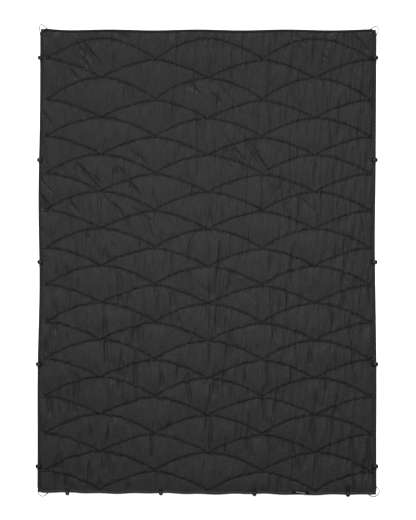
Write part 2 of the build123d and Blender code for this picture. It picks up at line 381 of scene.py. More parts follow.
shell_cloth = shell_finish("shell_nylon", CHARCOAL)
back_cloth = shell_finish("back_nylon", CHARCOAL)
# The binding carries painted shade on its rolled outer fold.
binding_cloth = woven_finish("binding_tape", CHARCOAL, 0.6, 0.0009, 0.0002, 0.04, dark="fold")
ribbon_cloth = woven_finish("grosgrain_ribbon", (0.005, 0.005, 0.0053), 0.6, 0.0012, 0.0003, 0.05,
                            specular=0.08)
thread_fibre = woven_finish("polyester_thread", (0.010, 0.010, 0.0105), 0.6, 0.0005, 0.0001, 0.05)
cord_cover = woven_finish("elastic_cord_cover", (0.034, 0.034, 0.036), 0.6, 0.0012, 0.0004, 0.2)
batting_fibre = woven_finish("polyester_batting", (0.72, 0.72, 0.70), 0.9, 0.004, 0.001, 0.5)

# %% Moulded plastic
snap_plastic = Finish("acetal_snap", (0.012, 0.012, 0.0125), 0.34, Specular_IOR_Level=0.5)
snap_grain = snap_plastic.noise(900.0, detail=1.0)
snap_plastic.feed(snap_plastic.shader.inputs["Roughness"], 0.28 + snap_grain * 0.12)
snap_plastic.bump(snap_grain, 0.00005)
snap_plastic = snap_plastic.material

# %% Floor
FLOOR_SIZE = 40.0
FLOOR_GLOW = 0.5             # a lit white table, on which shadows nearly vanish
floor_finish = Finish("studio_floor", (0.92, 0.92, 0.92), 0.9, Specular_IOR_Level=0.1,
                      Emission_Color=(1, 1, 1, 1), Emission_Strength=FLOOR_GLOW)
floor_finish.shade(0.985 + floor_finish.noise(2.0) * 0.03)
floor_form = bmesh.new()
bmesh.ops.create_grid(floor_form, x_segments=1, y_segments=1, size=FLOOR_SIZE)
floor = add_object("studio_floor", mesh_from("studio_floor", floor_form))
floor.data.materials.append(floor_finish.material)
floor.location.z = -0.0002

for loop in corner_loops:
    loop.data.materials.append(cord_cover)

# %% [markdown]
# ## The quilting pattern
# Twenty-four rows of scallops run across the blanket. Every arc rises to just below the points
# of the row above it, and alternate rows are shifted by half a scallop, which makes the long
# leaf-shaped cells. All the later pieces ask this one function where a row is.

# %% Rows of scallops
ROWS = 24
PERIOD = 0.4225
HALF_PERIOD = PERIOD / 2
PATTERN_SHIFT = 0.004
FIRST_ROW = 0.8044
FIRST_RISE = 0.0762
ROW_PITCH = 0.0734
SECOND_ROW_DROP = 0.011
ODD_ROW_DROP = 0.0031
ODD_ROW_SHIFT = -0.0035
ARC_SAG = (0.0013, 0.0044)   # how far the flanks of even and odd arcs hang under a true arc
ROW_GAP = 0.0028
FLATTER_FLANKS = 0.14        # how far an arc leans from a circle towards a wave
ROW_END = 3 * HALF_PERIOD


def row_points_y(row):
    """Height of a row's points on the blanket."""
    drop = (SECOND_ROW_DROP if row >= 2 else 0.0) + (ODD_ROW_DROP if row % 2 else 0.0)
    return FIRST_ROW - ROW_PITCH * row - drop


def row_rise(row):
    """Rise of a row's arcs over its points."""
    if row == 0:
        return FIRST_RISE
    return ROW_PITCH - ROW_GAP + (SECOND_ROW_DROP if row == 2 else 0.0)


def seam_y(row, x):
    """Where a row's sewn line lies at each x."""
    rise = row_rise(row)
    radius = (HALF_PERIOD ** 2 + rise ** 2) / (2 * rise)
    start = HALF_PERIOD if row % 2 == 0 else -ODD_ROW_SHIFT
    from_crest = (x - PATTERN_SHIFT + start) % PERIOD - HALF_PERIOD
    circle = rise - radius + np.sqrt(radius ** 2 - from_crest ** 2)
    wave = rise * (0.5 + 0.5 * np.cos(np.pi * from_crest / HALF_PERIOD))
    sag = ARC_SAG[row % 2] * np.sin(np.pi * from_crest / HALF_PERIOD) ** 2
    return row_points_y(row) + circle + FLATTER_FLANKS * (wave - circle) - sag


def seam_table(x):
    """All the rows at each x, foot first, between the two ends of the blanket."""
    rows = [seam_y(row, x) for row in reversed(range(ROWS))]
    ends = np.full_like(x, HALF_LENGTH)
    return np.array([-ends, *rows, ends])


print("rows from", round(seam_table(np.zeros(1))[1, 0], 3), "to",
      round(seam_table(np.zeros(1))[-2, 0], 3))

# %% [markdown]
# ## A slightly uneven outline
# A real blanket is never quite square: its edges wander by a few millimetres between the tabs
# and its corners are pulled out by the loops. One small function moves any point of the blanket
# by that much, most at the edges and hardly at all in the middle, and every piece uses it.


# %% How the outline wanders
def swell(place, centre, width):
    """A smooth hump of height one."""
    return np.exp(-((place - centre) / width) ** 2)


def settle_outline(points):
    """Move points of the flat pattern to where the real, uneven blanket has them."""
    x, y = points[:, 0].copy(), points[:, 1].copy()
    left = (-0.0022 + 0.0060 * y / HALF_LENGTH
            + 0.0035 * np.cos(2 * np.pi * (y + 0.11) / 0.82) * swell(y, 0, 0.6))
    right = (-0.0012 + 0.0035 * (y / HALF_LENGTH) ** 2 - 0.0030 * swell(y, 0.08, 0.2)
             + 0.0025 * swell(y, -0.45, 0.22))
    head = (0.0020 + 0.0018 * np.cos(2 * np.pi * (x + 0.04) / 0.35)
            + 0.0060 * swell(x, -0.675, 0.09) + 0.0010 * swell(x, 0.66, 0.06))
    foot = (-0.0008 - 0.0046 * x / HALF_WIDTH - 0.0016 * np.cos(2 * np.pi * x / 0.38)
            + 0.0012 * np.cos(2 * np.pi * (x - 0.1) / 0.13))
    across = np.clip(x / HALF_WIDTH, -1, 1)
    along = np.clip(y / HALF_LENGTH, -1, 1)
    moved = points.copy()
    moved[:, 0] += left * ((1 - across) / 2) ** 4 + right * ((1 + across) / 2) ** 4
    moved[:, 1] += head * ((1 + along) / 2) ** 14 + foot * ((1 - along) / 2) ** 14
    rows_wander = (0.0040 * swell(x, -0.53, 0.16) - 0.0030 * swell(x, 0.13, 0.15)
                   - 0.0034 * swell(y, 0.68, 0.30))
    moved[:, 1] += rows_wander * (1 - along ** 8)
    return moved


# %% [markdown]
# ## Handling mesh points
# The shells have tens of thousands of points, so they are moved all at once as arrays. The mesh
# itself still comes from an operator, a grid here, and only its points are moved.


# %% Mesh and object helpers
def read_points(mesh):
    """The points of a mesh as an array."""
    flat = np.empty(len(mesh.vertices) * 3)
    mesh.vertices.foreach_get("co", flat)
    return flat.reshape(-1, 3)


def write_points(mesh, points):
    """Put an array of points back into a mesh."""
    mesh.vertices.foreach_set("co", np.ascontiguousarray(points, dtype=np.float64).ravel())
    mesh.update()


def new_piece(name, form, material, body="blanket", nodes=()):
    """Turn a bmesh into a named piece; with no body it is attached to none."""
    return finish_piece(name, mesh_from(name, form), material, body, nodes)


def finish_piece(name, mesh, material, body="blanket", nodes=()):
    """The same, from a mesh that is already made."""
    mesh.materials.clear()
    mesh.materials.append(material)
    mesh.polygons.foreach_set("use_smooth", [True] * len(mesh.polygons))
    piece = add_object(name, mesh)
    if body:
        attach(piece, body)
    if nodes:
        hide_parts(*nodes)
    return piece


def thicken(piece, thickness):
    """Give a sheet a wall, on its underside."""
    wall = piece.modifiers.new("thickness", "SOLIDIFY")
    wall.thickness = thickness
    wall.offset = -1


def grid_mesh(name, columns, rows):
    """A flat grid over the blanket, and the point numbers by column and row."""
    form = bmesh.new()
    bmesh.ops.create_grid(form, x_segments=columns, y_segments=rows, size=1.0)
    mesh = mesh_from(name, form)
    points = read_points(mesh)
    order = np.lexsort((points[:, 1].round(6), points[:, 0].round(6)))
    return mesh, points, order.reshape(columns + 1, rows + 1)


for loop in corner_loops:
    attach(loop, "blanket")

# %% [markdown]
# ## Snap tabs, before the cloth
# The tabs hold the rim of the face down, so their places are needed before the cloth is laid.
# They come from the frame: the joint gives the sewn end and the way the tab points, and the
# CAD boxes give the length of the ribbon and the middle of its snap. The outer end of a tab
# follows the uneven edge, while its sewn end stays on the hinge.

# %% Where the tabs are
TAB_WIDTH = 0.016
MOST_TAB_PULL_IN = -0.002


class Tab:
    """One snap tab: its hinge, the way it points, its length and its snap."""

    def __init__(self, joint):
        self.body = joint["child"]
        self.place = self.body.removeprefix("tab_")
        self.hinge = Vector(joint["pos_m"])
        self.outward = UP.cross(Vector(joint["axis"]))
        self.side = UP.cross(self.outward)
        self.half = "socket" if f"snap_socket_{self.place}" in frame["nodes"] else "stud"
        ribbon_low, ribbon_high = (Vector(c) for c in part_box(f"snap_tab_{self.place}"))
        cap_low, cap_high = (Vector(c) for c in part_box(f"snap_cap_{self.place}"))
        outer_end = max((ribbon_low - self.hinge) @ self.outward,
                        (ribbon_high - self.hinge) @ self.outward)
        snap = ((cap_low + cap_high) / 2 - self.hinge) @ self.outward
        edge = settle_outline(np.array([self.hinge + self.outward * snap]))[0]
        moved = (Vector(edge) - self.hinge) @ self.outward - snap
        moved = max(moved, MOST_TAB_PULL_IN)
        self.length = outer_end + moved
        self.snap_at = snap + moved

    def at(self, along, across=0.0, height=0.0):
        """A point of the tab in the blanket's own frame; the height is over the floor."""
        spot = self.hinge + self.outward * along + self.side * across
        return Vector((spot.x, spot.y, height))


tabs = [Tab(joint) for joint in frame["record"]["behaviour"]["joints"]]
print(len(tabs), "snap tabs,", round(1000 * min(t.length for t in tabs), 1), "to",
      round(1000 * max(t.length for t in tabs), 1), "mm long")

# %% [markdown]
# ## Face shell
# The face is one sheet that is sewn down along every row and blown up a little between them by
# the batting. Its grid has one point of each column pulled exactly onto each sewn line, so the
# seams are crisp although the grid is square. Blender's cloth solver then does the sewing: the
# seam points are pinned, the cloth between them is cut a few percent too wide, as thread
# tension gathers it, and a gentle pressure lifts it off the batting.

# %% Lay the cut cloth on the pattern
SEAM_Z = 0.0044              # where the face is sewn down
GRID_STEP = 0.0053
SHEET_INSET = 0.0028         # the shells end inside the binding
HEM_HELD = 0.0105            # the binding holds this much of the rim down
TAB_PULLS_DOWN = 0.008       # and each tab this much more, inside its bar tack
SEAM_SIDE = 0.0034           # the first points beside a seam
label_low, label_high = (Vector(corner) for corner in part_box("woven_label"))


def seam_reaches(row, x):
    """Whether a row is sewn at each x: rows that end on a crest run on into the hem."""
    end = ROW_END if row % 2 == 0 else HALF_WIDTH - HEM_HELD
    return np.abs(x - PATTERN_SHIFT) < end


def space_between_seams(points, column, sewn):
    """Put one row of points close beside each seam and spread the others evenly."""
    stops = np.flatnonzero(sewn[column])
    for low, high in zip(stops, stops[1:]):
        start, end = points[column[low], 1], points[column[high], 1]
        inner = np.arange(low + 1, high)
        if len(inner) < 3 or end - start < 4 * SEAM_SIDE:
            points[column[inner], 1] = np.linspace(start, end, len(inner) + 2)[1:-1]
        else:
            points[column[inner], 1] = np.linspace(start + SEAM_SIDE, end - SEAM_SIDE, len(inner))


def lay_on_pattern(name, step):
    """A grid over the blanket with its points on the seams, and which of them are sewn."""
    half_x, half_y = HALF_WIDTH - SHEET_INSET, HALF_LENGTH - SHEET_INSET
    columns, rows = round(2 * half_x / step), round(2 * half_y / step)
    mesh, points, order = grid_mesh(name, columns, rows)
    points[:, 0] *= half_x
    points[:, 1] *= half_y
    sewn = np.zeros(len(points), dtype=bool)
    x = points[order[:, 0], 0]
    for row in range(ROWS):
        within = np.flatnonzero(seam_reaches(row, x))
        y = seam_y(row, x)
        nearest = np.clip(np.round((y + half_y) / (2 * half_y) * rows), 1, rows - 1).astype(int)
        hit = order[within, nearest[within]]
        points[hit, 1] = y[within]
        sewn[hit] = True
    for numbers in order:
        space_between_seams(points, numbers, sewn)
    return mesh, points, order, sewn


def edge_distance(points):
    """How far each point is inside the rounded outline."""
    over_x = np.abs(points[:, 0]) - HALF_WIDTH + CORNER_RADIUS
    over_y = np.abs(points[:, 1]) - HALF_LENGTH + CORNER_RADIUS
    straight = CORNER_RADIUS - np.maximum(over_x, over_y)
    return np.where((over_x > 0) & (over_y > 0), CORNER_RADIUS - np.hypot(over_x, over_y),
                    straight)


def held_flat(points):
    """Points that something else holds down: the binding, the tabs and the label."""
    held = edge_distance(points) < HEM_HELD
    for tab in tabs:
        offset = points[:, :2] - np.array(tab.hinge)[:2]
        along = offset @ np.array(tab.outward)[:2]
        across = offset @ np.array(tab.side)[:2]
        held |= (along > -TAB_PULLS_DOWN) & (np.abs(across) < TAB_WIDTH / 2 + 0.001)
    label = (points[:, 0] > label_low.x) & (points[:, 0] < label_high.x)
    return held | (label & (points[:, 1] < label_high.y))


face_mesh, face_points, face_order, face_sewn = lay_on_pattern("face_shell_cloth", GRID_STEP)
face_fixed = face_sewn | held_flat(face_points)
print("face grid", face_order.shape, "of which pinned", int(face_fixed.sum()))


# %% Height of a quilted cell without a solver
def seam_gap(points, order):
    """How far each point is from the seams below and above it, across the rows."""
    below, above = np.zeros(len(points)), np.zeros(len(points))
    table = np.sort(seam_table(points[order[:, 0], 0]), axis=0)
    for column, numbers in enumerate(order):
        seams, y = table[:, column], points[numbers, 1]
        upper = np.clip(np.searchsorted(seams, y, side="right"), 1, len(seams) - 1)
        below[numbers] = y - seams[upper - 1]
        above[numbers] = seams[upper] - y
    return np.maximum(below, 0), np.maximum(above, 0)


def cell_height(points, order, full=0.011, spread=0.05):
    """Crowned cells between the seams, for sketching and for the underside."""
    below, above = seam_gap(points, order)
    gap = np.maximum(below + above, 1e-6)
    crown = (4 * below * above / gap ** 2) ** 0.6
    rim = np.clip((edge_distance(points) - HEM_HELD) / 0.03, 0, 1)
    return full * (1 - np.exp(-gap / spread)) * crown * np.sqrt(rim)


# %% Gather and inflate the face
GATHER = 1.045               # the cloth is this much wider than the finished blanket
EASE = 1.022                 # and this much longer, which lets the cells rise
PRESSURE = 12.0
SOLVER_FRAMES = 9
RIPPLE = 0.0012              # unevenness of the cloth before it is sewn
CLOTH_SETTINGS = {
    "uniform_pressure_force": PRESSURE, "quality": 3, "mass": 0.05, "air_damping": 1,
    "tension_stiffness": 15, "compression_stiffness": 15, "shear_stiffness": 4,
    "bending_stiffness": 0.05, "tension_damping": 5, "compression_damping": 5, "shear_damping": 5}


def streaky_noise(shape, seed, across, along):
    """Random streaks, smoothed over this many points each way, with unit spread."""
    noise = np.random.default_rng(seed).standard_normal(shape)
    for axis, width in ((0, across), (1, along)):
        reach = int(3 * width) + 1
        kernel = np.exp(-0.5 * (np.arange(-reach, reach + 1) / width) ** 2)
        noise = np.apply_along_axis(lambda line: np.convolve(line, kernel, "same"), axis, noise)
    return noise / noise.std()


def sew_and_inflate(mesh, points, order, fixed):
    """Run the cloth solver and give back where the points come to rest."""
    streaks = np.zeros(len(points))
    streaks[order] = streaky_noise(order.shape, 5, 0.9, 5.0)
    start = points.copy()
    start[:, 2] = np.where(fixed, 0.0, 0.3 * cell_height(points, order) + RIPPLE * streaks)
    write_points(mesh, start)
    cloth = add_object("cloth_being_sewn", mesh)
    cloth.shape_key_add(name="sewn")
    cut = cloth.shape_key_add(name="cut")
    flat = points * np.array([GATHER, EASE, 0.0])
    cut.data.foreach_set("co", flat.ravel())
    pins = cloth.vertex_groups.new(name="pins")
    pins.add(np.flatnonzero(fixed).tolist(), 1.0, "REPLACE")
    solver = cloth.modifiers.new("cloth", "CLOTH")
    settings = solver.settings
    settings.vertex_group_mass = "pins"
    settings.rest_shape_key = cut
    settings.effector_weights.gravity = 0
    settings.use_pressure = True
    for name, value in CLOTH_SETTINGS.items():
        setattr(settings, name, value)
    solver.collision_settings.use_collision = False
    solver.point_cache.frame_end = SOLVER_FRAMES + 1
    for number in range(1, SOLVER_FRAMES + 1):
        bpy.context.scene.frame_set(number)
    settled = cloth.evaluated_get(bpy.context.evaluated_depsgraph_get())
    result = read_points(settled.data)
    bpy.data.objects.remove(cloth)
    bpy.context.scene.frame_set(1)
    return result


face_settled = sew_and_inflate(face_mesh.copy(), face_points, face_order, face_fixed)
face_height = np.maximum(face_settled[:, 2], 0.0)
print("face rises", round(1000 * face_height.max(), 1), "mm over its seams")

# %% Finish the face
# Width of the band of painted shade along each sewn line.
PAINTED_SEAM_SHADE_WIDTH = 0.0036
PUCKER_REACH = 0.016


def mark_points(mesh, name, values):
    """Store a number at each point of a mesh, for its finish."""
    mesh.attributes.new(name, "FLOAT", "POINT").data.foreach_set("value", values)


def seam_distance(points, order, fixed):
    """How far each point is from the nearest sewn line, measured across the row."""
    below, above = seam_gap(points, order)
    near = np.minimum(below, above) * 0.88
    return np.where(fixed, 0.0, near)


def mark_seams(mesh, points, order, sewn):
    """Mark the painted shade along the sewn grooves, and the puckered cloth beside them."""
    distance = seam_distance(points, order, sewn)
    beyond = np.abs(points[:, 0] - PATTERN_SHIFT) > HALF_WIDTH - 2 * HEM_HELD
    distance[beyond & ~sewn] = 1.0
    # Painted shade, strongest on the seam and gone a few millimetres from it.
    mark_points(mesh, "painted_seam_shade", np.exp(-(distance / PAINTED_SEAM_SHADE_WIDTH) ** 2))
    mark_points(mesh, "pucker", np.exp(-distance / PUCKER_REACH))


face_final = settle_outline(face_settled)
face_final[:, 2] = SEAM_Z + face_height
write_points(face_mesh, face_final)
mark_seams(face_mesh, face_points, face_order, face_sewn)
face_shell = finish_piece("face_shell_cloth", face_mesh, shell_cloth, nodes=["face_shell"])

# %% [markdown]
# ## Back shell
# The back is the same nylon, sewn by the same rows, but the blanket lies on it: its cells are
# pressed flat against the floor and only the seams draw up into shallow grooves. Nothing moves
# it much, so its height follows from the distance to the nearest seam.

# %% Lay the back flat and draw up its seams
BACK_STEP = 0.009
BACK_SEAM_Z = 0.0026
BACK_RIM_Z = 0.0011
BACK_FLOOR_Z = 0.0003
SHELL_THICKNESS = 0.0003


def back_surface(points, order):
    """Height of the back shell's upper side."""
    inside = np.clip((edge_distance(points) - HEM_HELD) / 0.015, 0, 1)
    drawn_up = np.exp(-cell_height(points, order) / 0.0014) * inside
    rim = BACK_RIM_Z - BACK_FLOOR_Z
    height = BACK_FLOOR_Z + SHELL_THICKNESS + rim * (1 - inside)
    return height + (BACK_SEAM_Z - BACK_FLOOR_Z) * drawn_up


back_mesh, back_points, back_order, back_sewn = lay_on_pattern("back_shell_cloth", BACK_STEP)
mark_seams(back_mesh, back_points, back_order, back_sewn)
back_points[:, 2] = back_surface(back_points, back_order)
write_points(back_mesh, settle_outline(back_points))
back_shell = finish_piece("back_shell_cloth", back_mesh, back_cloth, nodes=["back_shell"])
thicken(back_shell, SHELL_THICKNESS)
print("back shell", len(back_points), "points")

# %% [markdown]
# ## Batting
# Between the shells lies one sheet of polyester fibre. The seams squeeze it nearly flat and it
# swells between them, a little less than the face does, so that the cloth stands off it. It is
# a grid that is extruded into a closed pad. Each side takes its height from its shell, from the
# lowest part of the face and the highest part of the back close by, so it shows at neither.

# %% Fill the quilt
BATTING_STEP = 0.012
BATTING_INSET = 0.012
BATTING_CLEAR = 0.0006
BATTING_SEARCH = 2


def least_around(points, heights, order):
    """The least of a shell's heights within a few grid points of each place."""
    lowest = heights[order]
    for axis in (0, 1):
        shifts = range(-BATTING_SEARCH, BATTING_SEARCH + 1)
        lowest = np.min([np.roll(lowest, shift, axis=axis) for shift in shifts], axis=0)
    places = []
    for axis, half in ((0, HALF_WIDTH - SHEET_INSET), (1, HALF_LENGTH - SHEET_INSET)):
        steps = order.shape[axis] - 1
        place = np.round((points[:, axis] + half) / (2 * half) * steps)
        places.append(np.clip(place, 0, steps).astype(int))
    return lowest[tuple(places)]


batting_mesh, flat_points, _, _ = lay_on_pattern("batting_pad", BATTING_STEP)
flat_points[:, 0] *= (HALF_WIDTH - BATTING_INSET) / (HALF_WIDTH - SHEET_INSET)
flat_points[:, 1] *= (HALF_LENGTH - BATTING_INSET) / (HALF_LENGTH - SHEET_INSET)
write_points(batting_mesh, flat_points)
pad = bmesh.new()
pad.from_mesh(batting_mesh)
lower_count = len(pad.verts)
bmesh.ops.extrude_face_region(pad, geom=pad.faces[:])
bmesh.ops.recalc_face_normals(pad, faces=pad.faces[:])
pad.to_mesh(batting_mesh)
pad.free()
pad_points = read_points(batting_mesh)
upper = np.arange(len(pad_points)) >= lower_count
over_face = SEAM_Z + least_around(pad_points[upper], face_height, face_order)
under_back = -least_around(pad_points[~upper], -back_points[:, 2], back_order)
pad_points[upper, 2] = over_face - BATTING_CLEAR
pad_points[~upper, 2] = under_back + 0.5 * BATTING_CLEAR
write_points(batting_mesh, settle_outline(pad_points))
batting = finish_piece("batting_pad", batting_mesh, batting_fibre, nodes=["batting"])
print("batting", round(1000 * np.ptp(pad_points[:, 2]), 1), "mm high")

# %% [markdown]
# ## Edge binding
# A tape folded in half over the raw edges of both shells runs round the whole blanket. Its
# section is a thin hairpin. That section is extruded along each side in short steps and spun
# round each corner, which is how a binding foot on a sewing machine lays it.

# %% Fold the tape
BINDING_WIDTH = 0.010
BINDING_WALL = 0.0005
BINDING_MIDDLE = 0.0027
FOLD_RADIUS = 0.0025
BINDING_STEP = 0.0065
CORNER_STEPS = 10


def folded_section():
    """The tape's section: distance in from the edge, and height."""
    points = []
    for radius, turn in ((FOLD_RADIUS, 1), (FOLD_RADIUS - BINDING_WALL, -1)):
        side = [(BINDING_WIDTH, BINDING_MIDDLE + radius)]
        for step in range(9):
            angle = math.pi * (0.5 + step / 8)
            side.append((FOLD_RADIUS + radius * math.cos(angle),
                         BINDING_MIDDLE + radius * math.sin(angle)))
        side.append((BINDING_WIDTH, BINDING_MIDDLE - radius))
        points += side[::turn]
    return points


def sweep_round_edge(section):
    """Carry a closed section round the rounded rectangle of the blanket."""
    form = bmesh.new()
    side_x, side_y = HALF_WIDTH - CORNER_RADIUS, HALF_LENGTH - CORNER_RADIUS
    ring = [form.verts.new((HALF_WIDTH - inset, -side_y, z)) for inset, z in section]
    rim = [form.edges.new((a, b)) for a, b in zip(ring, ring[1:] + ring[:1])]
    direction = Vector((0, 1, 0))
    corners = [(side_x, side_y), (-side_x, side_y), (-side_x, -side_y), (side_x, -side_y)]
    for number, corner in enumerate(corners):
        run = 2 * (side_y if number % 2 == 0 else side_x)
        steps = round(run / BINDING_STEP)
        for _ in range(steps):
            made = bmesh.ops.extrude_edge_only(form, edges=rim)["geom"]
            rim = [e for e in made if isinstance(e, bmesh.types.BMEdge)]
            moved = [v for v in made if isinstance(v, bmesh.types.BMVert)]
            bmesh.ops.translate(form, verts=moved, vec=direction * (run / steps))
        made = bmesh.ops.spin(form, geom=rim, cent=(*corner, 0), axis=UP, dvec=(0, 0, 0),
                              angle=math.pi / 2, steps=CORNER_STEPS)["geom_last"]
        rim = [e for e in made if isinstance(e, bmesh.types.BMEdge)]
        direction = Matrix.Rotation(math.pi / 2, 3, "Z") @ direction
    bmesh.ops.remove_doubles(form, verts=form.verts[:], dist=1e-5)
    bmesh.ops.recalc_face_normals(form, faces=form.faces[:])
    return form


binding = new_piece("edge_binding_tape", sweep_round_edge(folded_section()), binding_cloth,
                    nodes=["edge_binding"])
# Painted shade on the outer edge of the tape, where its fold rolls down: full within 2 mm of the edge,
# none past 5 mm.
fold = np.clip(1 - (edge_distance(read_points(binding.data)) - 0.002) / 0.003, 0, 1)
mark_points(binding.data, "fold", fold)
binding_points = settle_outline(read_points(binding.data))
pucker = np.sin(binding_points[:, 0] * 310) * np.sin(binding_points[:, 1] * 287)
binding_points[:, 2] += 0.00012 * pucker * (binding_points[:, 2] > BINDING_MIDDLE)
write_points(binding.data, binding_points)
print("binding", len(binding_points), "points")

# %% [markdown]
# ## Stitches
# Every sewn line is a row of short stitches, thousands in all, so each is only a small grain
# made from the coarsest icosphere. An Array modifier makes as many copies as there are
# stitches, and then all their points are put in place at once, each copy turned along its seam.


# %% Copy one grain to many places
def grain_mesh(length, width, height):
    """One stitch, lying along X."""
    form = bmesh.new()
    bmesh.ops.create_icosphere(form, subdivisions=1, radius=0.5)
    bmesh.ops.scale(form, vec=(length, width, height), verts=form.verts[:])
    return mesh_from("grain", form)


def stitch_piece(name, grain, places, headings, nodes=()):
    """One piece of many stitches, with a place and a heading on the floor for each."""
    maker = add_object("stitch_maker", grain)
    array = maker.modifiers.new("copies", "ARRAY")
    array.count = len(places)
    array.use_relative_offset = False
    ready = maker.evaluated_get(bpy.context.evaluated_depsgraph_get())
    mesh = bpy.data.meshes.new_from_object(ready)
    unit = read_points(grain)
    bpy.data.objects.remove(maker)
    along = np.column_stack([np.cos(headings), np.sin(headings), np.zeros(len(headings))])
    across = np.column_stack([-along[:, 1], along[:, 0], along[:, 2]])
    points = (places[:, None, :] + unit[None, :, :1] * along[:, None, :]
              + unit[None, :, 1:2] * across[:, None, :] + unit[None, :, 2:] * np.array(UP))
    mesh.name = name
    write_points(mesh, points.reshape(-1, 3))
    print(name, len(places), "stitches")
    return finish_piece(name, mesh, thread_fibre, nodes=nodes)


def walk(line, pitch):
    """Evenly spaced places along a polyline, and the way it runs at each."""
    runs = np.diff(line, axis=0)
    travelled = np.concatenate([[0], np.cumsum(np.hypot(runs[:, 0], runs[:, 1]))])
    stops = np.arange(pitch / 2, travelled[-1], pitch)
    places = np.column_stack([np.interp(stops, travelled, line[:, i]) for i in range(3)])
    run = np.clip(np.searchsorted(travelled, stops) - 1, 0, len(runs) - 1)
    return places, np.arctan2(runs[run, 1], runs[run, 0])


# %% Quilting stitches
QUILT_PITCH = 0.0042
STITCH_STEP = 0.002
STITCH_LIFT = 0.0001


def sewn_rows(height):
    """Places and headings of the stitches of all the quilted rows."""
    places, headings = [], []
    x = np.arange(-HALF_WIDTH + HEM_HELD, HALF_WIDTH - HEM_HELD, STITCH_STEP)
    for row in range(ROWS):
        sewn = x[seam_reaches(row, x)]
        line = np.column_stack([sewn, seam_y(row, sewn), np.full_like(sewn, height)])
        row_places, row_headings = walk(settle_outline(line), QUILT_PITCH)
        places.append(row_places)
        headings.append(row_headings)
    return np.vstack(places), np.concatenate(headings)


quilt_grain = grain_mesh(0.0037, 0.0011, 0.0008)
stitch_piece("quilting_stitches_face", quilt_grain, *sewn_rows(SEAM_Z + STITCH_LIFT),
             nodes=["quilting_thread_face"])
stitch_piece("quilting_stitches_back", quilt_grain, *sewn_rows(BACK_SEAM_Z),
             nodes=["quilting_thread_back"])

# %% Binding stitches
BINDING_SEAM_INSET = 0.0075
BINDING_PITCH = 0.0034


def rim_line(inset, height):
    """The blanket's outline at an inset, as a closed polyline with fine steps."""
    radius = CORNER_RADIUS - inset
    side_x, side_y = HALF_WIDTH - CORNER_RADIUS, HALF_LENGTH - CORNER_RADIUS
    line = []
    for quarter, (x, y) in enumerate([(side_x, side_y), (-side_x, side_y),
                                      (-side_x, -side_y), (side_x, -side_y)]):
        for step in range(CORNER_STEPS + 1):
            angle = (quarter + step / CORNER_STEPS) * math.pi / 2
            line.append((x + radius * math.cos(angle), y + radius * math.sin(angle), height))
    line.append(line[0])
    fine = []
    for start, end in zip(line, line[1:]):
        count = max(1, round(math.dist(start, end) / STITCH_STEP))
        fine += [np.array(start) + (np.array(end) - start) * i / count for i in range(count)]
    return np.array(fine + [line[-1]])


binding_grain = grain_mesh(0.0029, 0.0010, 0.0007)
binding_top = BINDING_MIDDLE + FOLD_RADIUS
binding_bottom = BINDING_MIDDLE - FOLD_RADIUS
stitch_piece("binding_stitches_face", binding_grain,
             *walk(settle_outline(rim_line(BINDING_SEAM_INSET, binding_top)), BINDING_PITCH),
             nodes=["binding_thread_face"])
stitch_piece("binding_stitches_back", binding_grain,
             *walk(settle_outline(rim_line(BINDING_SEAM_INSET, binding_bottom + 0.0002)),
                   BINDING_PITCH),
             nodes=["binding_thread_back"])

# %% [markdown]
# ## Snap tabs
# Each tab is a piece of ribbon folded in half, with the fold at its outer end and a bar tack
# through its inner end. The ribbon steps up over the back of the snap. One strip of grid is bent
# along that hairpin path and thickened. It is sewn to the blanket at one end and lifts at the
# other; here the ribbon is left on no moving body.

# %% Fold the ribbons
RIBBON_THICKNESS = 0.0005
RIBBON_LOW = 0.0055          # underside of the sewn end
RIBBON_STEP_UP = 0.0015      # the thickness of the snap's back
RIBBON_LAYER = 0.0006        # from one layer to the other
CAP_RADIUS = 0.0062
SOFT_END = 0.006             # the fold's corners are this round
RIBBON_ROWS = 12
HINGE_START, HINGE_END = 0.0015, 0.0045


def smooth_step(value):
    """From nought to one with soft ends."""
    value = np.clip(value, 0, 1)
    return value * value * (3 - 2 * value)


def ribbon_height(tab, along):
    """Height of the lower layer: low where it is sewn, higher over the snap's back."""
    ramp_end = tab.snap_at - CAP_RADIUS - 0.0002
    ramp = smooth_step((along - 0.0012) / max(ramp_end - 0.0012, 0.002))
    return RIBBON_LOW + RIBBON_THICKNESS / 2 + RIBBON_STEP_UP * ramp


def fold_ribbon(tab):
    """The folded ribbon of one tab."""
    columns = 2 * round(tab.length / 0.0008)
    mesh, points, order = grid_mesh(f"tab_ribbon_{tab.place}", columns, RIBBON_ROWS)
    travel = points[:, 0]
    along = tab.length * (1 - np.abs(travel))
    fold = np.clip(np.abs(travel) * tab.length / (RIBBON_LAYER / 2), 0, 1)
    layer = RIBBON_LAYER / 2 * (1 + np.sign(travel) * np.sin(fold * np.pi / 2))
    past = np.clip((along - tab.length + SOFT_END) / SOFT_END, 0, 1)
    half_width = TAB_WIDTH / 2 - SOFT_END * (1 - np.sqrt(1 - 0.98 * past ** 2))
    across = points[:, 1] * half_width
    lower = ribbon_height(tab, along)
    placed = np.array([tab.at(a, c, z) for a, c, z in zip(along, across, lower + layer)])
    write_points(mesh, placed)
    form = bmesh.new()
    form.from_mesh(mesh)
    bmesh.ops.recalc_face_normals(form, faces=form.faces[:])
    bmesh.ops.solidify(form, geom=form.faces[:], thickness=RIBBON_THICKNESS * 0.9)
    bmesh.ops.recalc_face_normals(form, faces=form.faces[:])
    ribbon = new_piece(f"tab_ribbon_{tab.place}", form, ribbon_cloth, None,
                       [f"snap_tab_{tab.place}"])
    tuple(tab.at(HINGE_START, 0, tab.hinge.z))
    tuple(tab.at(HINGE_END, 0, tab.hinge.z))
    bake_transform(ribbon)


for tab in tabs:
    fold_ribbon(tab)

